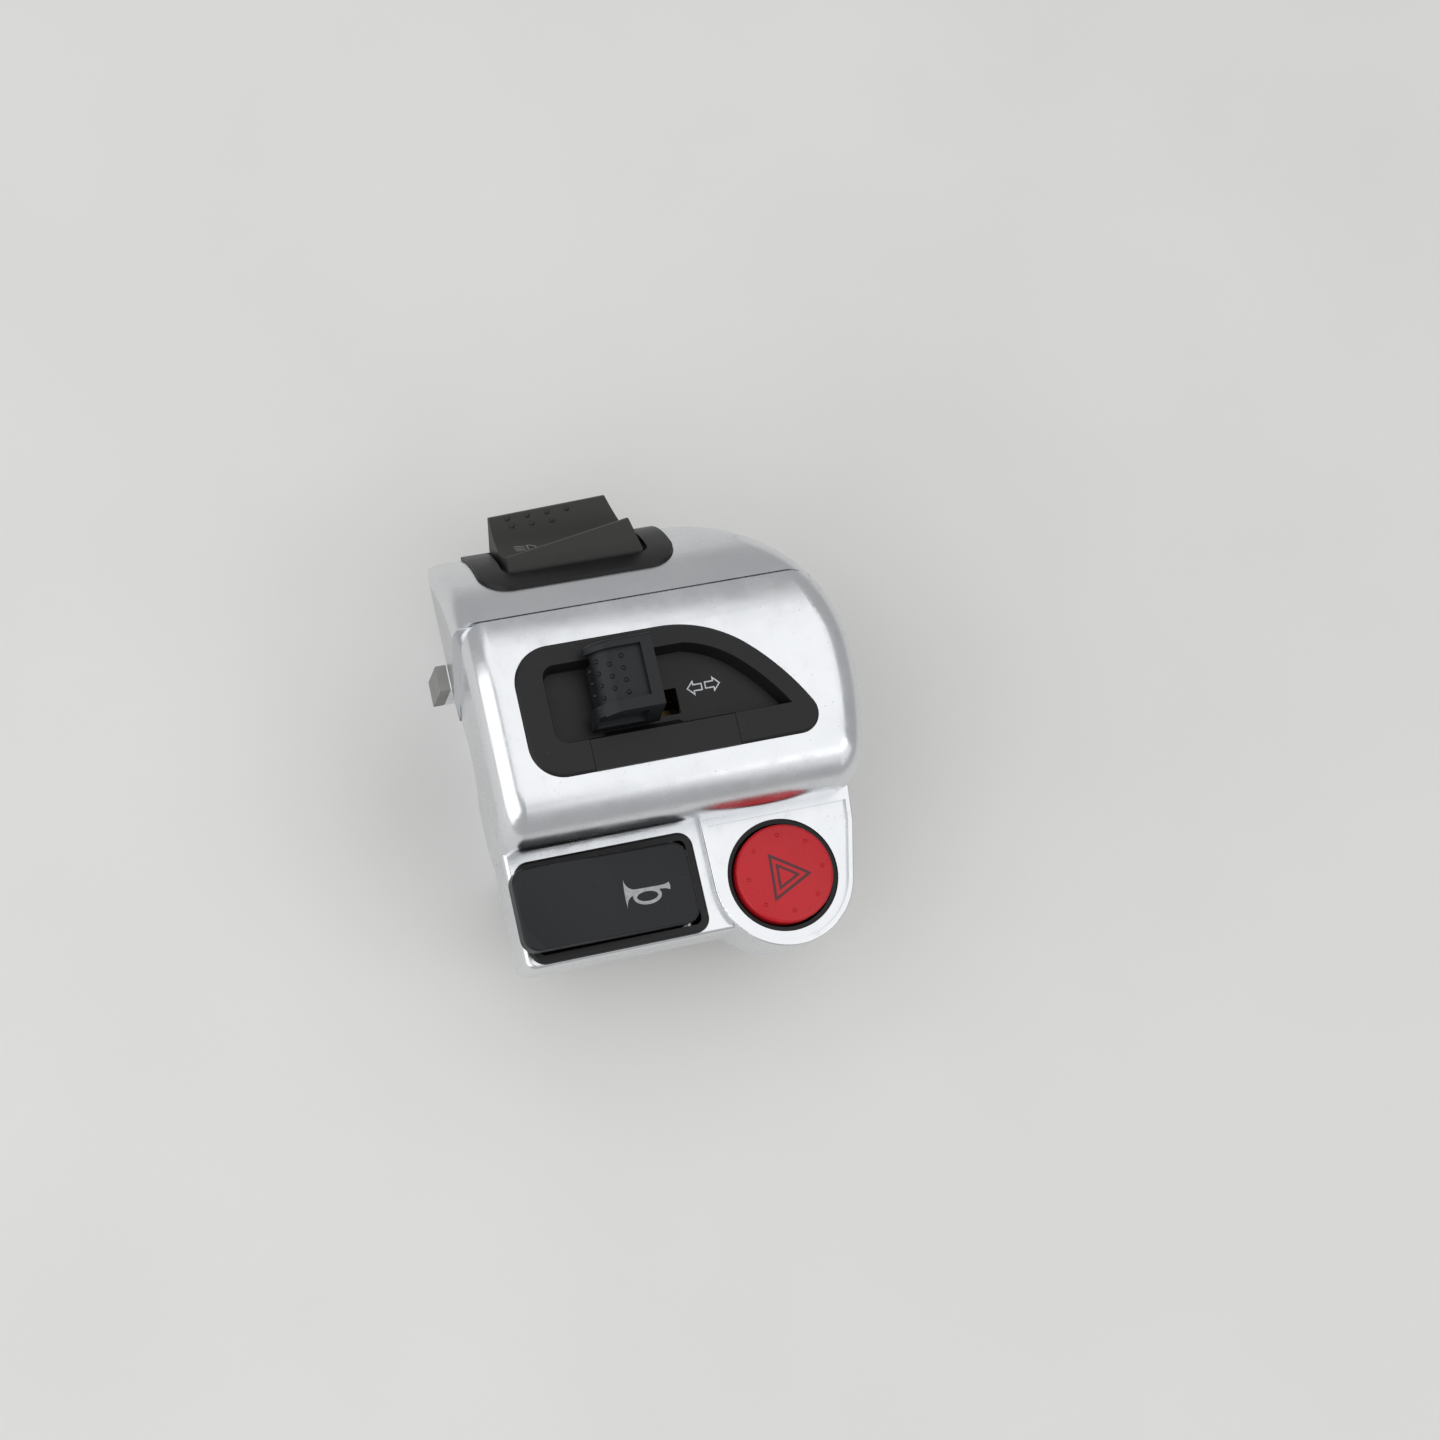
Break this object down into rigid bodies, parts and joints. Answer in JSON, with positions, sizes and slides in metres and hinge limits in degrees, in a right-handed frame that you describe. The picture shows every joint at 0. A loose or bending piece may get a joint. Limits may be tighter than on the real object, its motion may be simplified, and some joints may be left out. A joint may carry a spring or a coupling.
{
  "type": "handlebar switch cluster",
  "caption": "Scooter handlebar switch housing with a beam rocker, a sliding turn signal knob, a horn button and a red hazard button.",
  "frame": {"origin": "on the handlebar's axis, 30.5 mm inboard of the front shell's outboard face", "axes": "+X along the handlebar towards the middle of the vehicle, +Z out of the face with the turn signal knob, +Y towards the beam rocker"},
  "size_m": [0.0648, 0.08, 0.056],
  "materials": {
    "plated_shell": "satin polished",
    "black_bezel": "satin",
    "black_button": "satin",
    "grey_rocker": "fine grained",
    "red_button": "gloss",
    "dark_nylon": "moulded",
    "pale_nylon": "moulded",
    "spring_steel": "drawn wire",
    "zinc_steel": "zinc plated",
    "contact_brass": "stamped",
    "grommet_rubber": "matt"
  },
  "bodies": {
    "housing": {"rear_shell": "plated_shell", "front_shell": "plated_shell", "shell_screws": "zinc_steel", "turn_bezel": "black_bezel", "turn_bezel_strip": "black_bezel", "turn_contacts": "contact_brass", "turn_switch_body": "dark_nylon", "turn_screws": "zinc_steel", "horn_frame": "black_bezel", "horn_hinge_pin": "zinc_steel", "horn_switch_body": "dark_nylon", "horn_contacts": "contact_brass", "hazard_collar": "black_bezel", "hazard_switch_body": "dark_nylon", "hazard_contacts": "contact_brass", "beam_bezel": "black_bezel", "beam_pivot_pin": "zinc_steel", "beam_contact_pin": "zinc_steel", "beam_switch_body": "dark_nylon", "beam_contacts": "contact_brass", "cable_grommet": "grommet_rubber"},
    "beam_rocker": {"beam_rocker": "grey_rocker", "beam_plunger": "pale_nylon", "beam_spring": "spring_steel"},
    "beam_contact_plate": {"beam_contact_plate": "contact_brass"},
    "turn_carriage": {"turn_carriage": "dark_nylon", "turn_detent_ball": "zinc_steel", "turn_detent_spring": "spring_steel", "turn_contact_bridge": "contact_brass", "turn_push_spring": "spring_steel"},
    "turn_knob": {"turn_knob": "black_button"},
    "horn_button": {"horn_button": "black_button"},
    "horn_plunger": {"horn_plunger": "pale_nylon", "horn_contact_disc": "contact_brass", "horn_spring": "spring_steel"},
    "hazard_button": {"hazard_button": "red_button", "hazard_contact_disc": "contact_brass", "hazard_spring": "spring_steel"}
  },
  "joints": [
    {"name": "beam_tilt", "type": "hinge", "parent": "housing", "child": "beam_rocker", "pos_m": [-0.0077, 0.02799, 0.01264], "axis": [1, 0, 0], "range_deg": [-7, 7]},
    {"name": "beam_contact_tip", "type": "hinge", "parent": "housing", "child": "beam_contact_plate", "pos_m": [-0.0077, 0.01986, 0.00813], "axis": [1, 0, 0], "range_deg": [-4.3, 4.3]},
    {"name": "turn_slide", "type": "slide", "parent": "housing", "child": "turn_carriage", "axis": [1, 0, 0], "range_m": [0, 0.0072]},
    {"name": "turn_push", "type": "slide", "parent": "turn_carriage", "child": "turn_knob", "axis": [0, 0, -1], "range_m": [0, 0.0012], "stiffness_N_per_m": 400, "springref_m": -0.002, "deforming": ["turn_push_spring"]},
    {"name": "horn_press", "type": "hinge", "parent": "housing", "child": "horn_button", "pos_m": [-0.0014, -0.027, 0.0122], "axis": [0, -1, 0], "range_deg": [0, 5], "stiffness_Nm_per_rad": 0.1, "springref_deg": -5.73},
    {"name": "horn_plunge", "type": "slide", "parent": "housing", "child": "horn_plunger", "axis": [0, 0, -1], "range_m": [0, 0.0012], "deforming": ["horn_spring"]},
    {"name": "hazard_push", "type": "slide", "parent": "housing", "child": "hazard_button", "axis": [0, 0, -1], "range_m": [0, 0.002], "stiffness_N_per_m": 600, "springref_m": -0.003, "deforming": ["hazard_spring"]}
  ],
  "couplings": [
    {"joint": "beam_contact_tip", "follows": "beam_tilt", "ratio": -0.6},
    {"joint": "horn_plunge", "follows": "horn_press", "m_per_rad": 0.0136}
  ]
}
